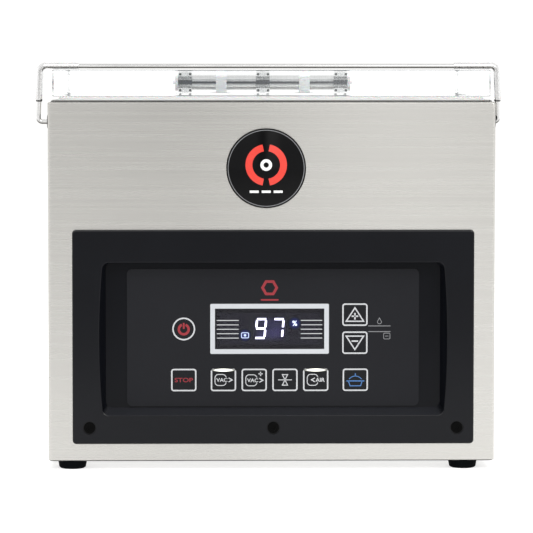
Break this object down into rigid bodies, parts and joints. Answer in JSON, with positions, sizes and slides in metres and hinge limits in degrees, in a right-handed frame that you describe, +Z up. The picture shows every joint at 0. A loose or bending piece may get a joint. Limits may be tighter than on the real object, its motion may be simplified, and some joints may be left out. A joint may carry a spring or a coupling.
{
  "type": "tabletop chamber vacuum sealer",
  "caption": "Tabletop chamber vacuum sealer with a steel casing, a thick clear hinged lid, a wire lid bail, a recessed keypad panel, a lifting seal bar and an internal pump.",
  "frame": {"origin": "on the surface the machine stands on, under the middle of its overall box", "axes": "+Z up, -Y towards the front with the control panel, +X to the right seen from the front"},
  "size_m": [0.35, 0.431, 0.307],
  "materials": {
    "casing_steel": "horizontal grain",
    "panel_steel": "fine grain",
    "deck_steel": "satin",
    "screw_steel": "satin",
    "fascia_black": "fine moulded grain",
    "overlay_charcoal": "satin printed film",
    "key_charcoal": "satin printed film",
    "lens_dark": "clear over dark",
    "segment_white": "lit",
    "board_green": "solder mask",
    "badge_black": "domed resin",
    "foot_rubber": "matt",
    "gasket_silicone": "matt",
    "silicone_red": "matt",
    "lid_acrylic": "clear, polished edges",
    "white_board": "fine grain",
    "nylon_white": "satin",
    "bar_aluminium": "satin",
    "tape_brown": "coated glass cloth",
    "wire_nichrome": "drawn",
    "post_chrome": "ground",
    "shaft_polished": "polished",
    "arm_steel": "polished",
    "bail_bright": "bright drawn wire",
    "sleeve_clear": "translucent tube",
    "bush_black": "satin",
    "screw_black": "black oxide",
    "inlet_black": "moulded",
    "pin_brass": "nickel over brass",
    "iron_grey": "painted grey",
    "motor_aluminium": "cast",
    "rotor_steel": "ground",
    "fan_black": "moulded",
    "hose_black": "smooth",
    "coil_copper": "varnished windings",
    "valve_brass": "machined"
  },
  "bodies": {
    "root": {"casing": "casing_steel", "back_panel": "panel_steel", "back_panel_screws": "screw_steel", "base_plate": "panel_steel", "feet": "foot_rubber", "foot_screws": "screw_steel", "badge": "badge_black", "chamber_tub": "deck_steel", "chamber_gasket": "gasket_silicone", "filler_plate": "white_board", "suction_port": "bar_aluminium", "container_spigot": "post_chrome", "post_bushes": "nylon_white", "lift_cylinders": "bar_aluminium", "hinge_bearings": "nylon_white", "bearing_screws": "screw_steel", "bail_bushes": "bush_black", "control_fascia": "fascia_black", "fascia_screws": "screw_black", "keypad_overlay": "overlay_charcoal", "display_lens": "lens_dark", "display_segments": "segment_white", "control_board": "board_green", "power_inlet": "inlet_black", "inlet_pins": "pin_brass", "pump_housing": "iron_grey", "pump_cover": "iron_grey", "motor_housing": "motor_aluminium", "fan_cover": "fan_black", "pump_mounts": "rotor_steel", "valve_block": "valve_brass", "solenoid_valves": "coil_copper", "vacuum_hoses": "hose_black", "transformer": "coil_copper", "power_board": "board_green"},
    "lid": {"lid_slab": "lid_acrylic", "counter_bar_holder": "bar_aluminium", "counter_bar_silicone": "silicone_red", "hinge_shaft": "shaft_polished", "hinge_caps": "nylon_white", "hinge_arms": "arm_steel", "arm_screws": "screw_black"},
    "bail": {"bail_wire": "bail_bright", "bail_sleeves": "sleeve_clear"},
    "seal_bar": {"seal_bar": "bar_aluminium", "seal_wires": "wire_nichrome", "seal_tape": "tape_brown", "seal_posts": "post_chrome"},
    "rotor": {"motor_shaft": "rotor_steel", "pump_rotor": "rotor_steel", "cooling_fan": "fan_black"},
    "key_power": {"key_power": "key_charcoal"},
    "key_stop": {"key_stop": "key_charcoal"},
    "key_container": {"key_container": "key_charcoal"},
    "key_vacuum": {"key_vacuum": "key_charcoal"},
    "key_vacuum_plus": {"key_vacuum_plus": "key_charcoal"},
    "key_seal": {"key_seal": "key_charcoal"},
    "key_air": {"key_air": "key_charcoal"},
    "key_plus": {"key_plus": "key_charcoal"},
    "key_minus": {"key_minus": "key_charcoal"}
  },
  "joints": [
    {"name": "lid_hinge", "type": "hinge", "parent": "root", "child": "lid", "pos_m": [0, 0.195, 0.2916], "axis": [-1, 0, 0], "range_deg": [0, 62], "stiffness_Nm_per_rad": 2.2, "springref_deg": 137.51},
    {"name": "bail_swing", "type": "hinge", "parent": "root", "child": "bail", "pos_m": [0, -0.2042, 0.2626], "axis": [1, 0, 0], "range_deg": [-18, 135]},
    {"name": "seal_lift", "type": "slide", "parent": "root", "child": "seal_bar", "axis": [0, 0, 1], "range_m": [0, 0.008], "stiffness_N_per_m": 600, "springref_m": -0.012},
    {"name": "rotor_spin", "type": "hinge", "parent": "root", "child": "rotor", "pos_m": [0, 0.095, 0.078], "axis": [1, 0, 0], "continuous": true},
    {"name": "press_power", "type": "slide", "parent": "root", "child": "key_power", "axis": [0, 1, 0], "range_m": [0, 0.0005], "stiffness_N_per_m": 2400, "springref_m": -0.0004},
    {"name": "press_stop", "type": "slide", "parent": "root", "child": "key_stop", "axis": [0, 1, 0], "range_m": [0, 0.0005], "stiffness_N_per_m": 2400, "springref_m": -0.0004},
    {"name": "press_container", "type": "slide", "parent": "root", "child": "key_container", "axis": [0, 1, 0], "range_m": [0, 0.0005], "stiffness_N_per_m": 2400, "springref_m": -0.0004},
    {"name": "press_vacuum", "type": "slide", "parent": "root", "child": "key_vacuum", "axis": [0, 1, 0], "range_m": [0, 0.0005], "stiffness_N_per_m": 2400, "springref_m": -0.0004},
    {"name": "press_vacuum_plus", "type": "slide", "parent": "root", "child": "key_vacuum_plus", "axis": [0, 1, 0], "range_m": [0, 0.0005], "stiffness_N_per_m": 2400, "springref_m": -0.0004},
    {"name": "press_seal", "type": "slide", "parent": "root", "child": "key_seal", "axis": [0, 1, 0], "range_m": [0, 0.0005], "stiffness_N_per_m": 2400, "springref_m": -0.0004},
    {"name": "press_air", "type": "slide", "parent": "root", "child": "key_air", "axis": [0, 1, 0], "range_m": [0, 0.0005], "stiffness_N_per_m": 2400, "springref_m": -0.0004},
    {"name": "press_plus", "type": "slide", "parent": "root", "child": "key_plus", "axis": [0, 1, 0], "range_m": [0, 0.0005], "stiffness_N_per_m": 2400, "springref_m": -0.0004},
    {"name": "press_minus", "type": "slide", "parent": "root", "child": "key_minus", "axis": [0, 1, 0], "range_m": [0, 0.0005], "stiffness_N_per_m": 2400, "springref_m": -0.0004}
  ]
}
